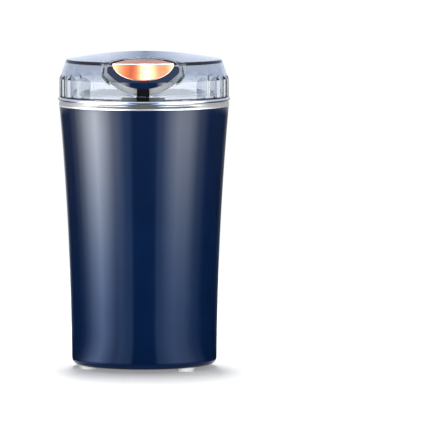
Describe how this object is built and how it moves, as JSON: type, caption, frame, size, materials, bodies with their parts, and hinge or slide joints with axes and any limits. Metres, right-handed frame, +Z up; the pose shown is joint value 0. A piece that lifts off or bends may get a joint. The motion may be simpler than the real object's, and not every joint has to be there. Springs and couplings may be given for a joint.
{
  "type": "electric coffee grinder",
  "caption": "Tapered upright electric coffee grinder with a glossy body, clear fluted lift-off lid, half-moon push button, metal bowl with spinning blade and motor inside.",
  "frame": {"origin": "on the floor plane, on the body's axis, centred under the trim ring", "axes": "+Z up along the body's axis, -Y towards the front with the push button"},
  "size_m": [0.098, 0.098, 0.1807],
  "materials": {
    "navy_gloss": "high gloss moulded navy plastic",
    "navy_satin": "semi gloss navy plastic",
    "clear_lid": "clear, faintly blue-grey moulded plastic",
    "chrome_trim": "polished plated trim",
    "copper_plate": "polished copper-coloured plating",
    "black_plastic": "fine satin black plastic",
    "dark_key": "dark grey translucent-looking plastic",
    "white_rubber": "soft white rubber",
    "grey_rubber": "soft grey rubber",
    "bowl_steel": "circularly brushed stainless steel",
    "blade_steel": "ground stainless steel",
    "screw_steel": "zinc plated steel",
    "spring_steel": "drawn spring wire",
    "core_steel": "laminated electrical steel",
    "copper_wire": "enamelled copper wire",
    "bronze": "oil-filled sintered bronze",
    "zinc_bracket": "pressed motor bracket",
    "carbon": "pressed carbon",
    "white_plastic": "natural white plastic",
    "red_insulation": "wire insulation",
    "blue_insulation": "wire insulation",
    "grey_insulation": "wire insulation"
  },
  "bodies": {
    "housing": {"body_shell": "navy_gloss", "base_cover": "navy_satin", "base_screws": "screw_steel", "cord_gland": "black_plastic", "top_ring": "chrome_trim", "bowl_seal": "grey_rubber", "grinding_bowl": "bowl_steel", "bowl_bush": "black_plastic", "bowl_screws": "screw_steel", "key_guide": "dark_key", "plunger_spring": "spring_steel", "switch_bracket": "black_plastic", "bracket_screws": "screw_steel", "microswitch": "black_plastic", "microswitch_screws": "screw_steel", "motor_carrier": "white_plastic", "carrier_dampers": "grey_rubber", "carrier_screws": "screw_steel", "upper_bracket": "zinc_bracket", "upper_bearing": "bronze", "lower_bracket": "zinc_bracket", "lower_bearing": "bronze", "motor_screws": "screw_steel", "stator_core": "core_steel", "field_coil_right": "copper_wire", "field_coil_left": "copper_wire", "terminal_block": "white_plastic", "suppression_capacitor": "white_plastic", "thermal_cutout": "black_plastic", "lead_supply": "red_insulation", "lead_switch": "grey_insulation", "lead_neutral": "blue_insulation", "foot_right": "white_rubber", "foot_left": "white_rubber", "foot_rear": "white_rubber", "brush_holder_right": "bronze", "carbon_brush_right": "carbon", "brush_spring_right": "spring_steel", "brush_holder_left": "bronze", "carbon_brush_left": "carbon", "brush_spring_left": "spring_steel"},
    "lid": {"lid_shell": "clear_lid", "button_spring": "spring_steel"},
    "button": {"button_carrier": "navy_gloss", "button_cap": "copper_plate", "push_rod": "black_plastic", "button_washer": "screw_steel", "button_screw": "screw_steel"},
    "plunger": {"switch_plunger": "black_plastic"},
    "lever": {"switch_lever": "spring_steel"},
    "rotor": {"shaft": "screw_steel", "armature_core": "core_steel", "armature_winding": "copper_wire", "commutator": "copper_wire", "cooling_fan": "white_plastic", "blade": "blade_steel", "blade_washer": "screw_steel", "blade_nut": "screw_steel"}
  },
  "joints": [
    {"name": "lid_lift", "type": "slide", "parent": "housing", "child": "lid", "axis": [0, 0, 1], "range_m": [0, 0.06]},
    {"name": "button_press", "type": "slide", "parent": "lid", "child": "button", "axis": [0, 0, -1], "range_m": [0, 0.003], "stiffness_N_per_m": 550, "springref_m": -0.004, "deforming": ["button_spring"]},
    {"name": "plunger_press", "type": "slide", "parent": "housing", "child": "plunger", "axis": [0, 0, -1], "range_m": [0, 0.003], "deforming": ["plunger_spring"]},
    {"name": "lever_swing", "type": "hinge", "parent": "housing", "child": "lever", "pos_m": [-0.0084, -0.0398, 0.13153], "axis": [0, 1, 0], "range_deg": [0, 15.85]},
    {"name": "rotor_spin", "type": "hinge", "parent": "housing", "child": "rotor", "pos_m": [0, 0, 0.064], "axis": [0, 0, 1], "continuous": true}
  ],
  "couplings": [
    {"joint": "plunger_press", "follows": "button_press", "ratio": 1},
    {"joint": "lever_swing", "follows": "button_press", "rad_per_m": 92}
  ]
}
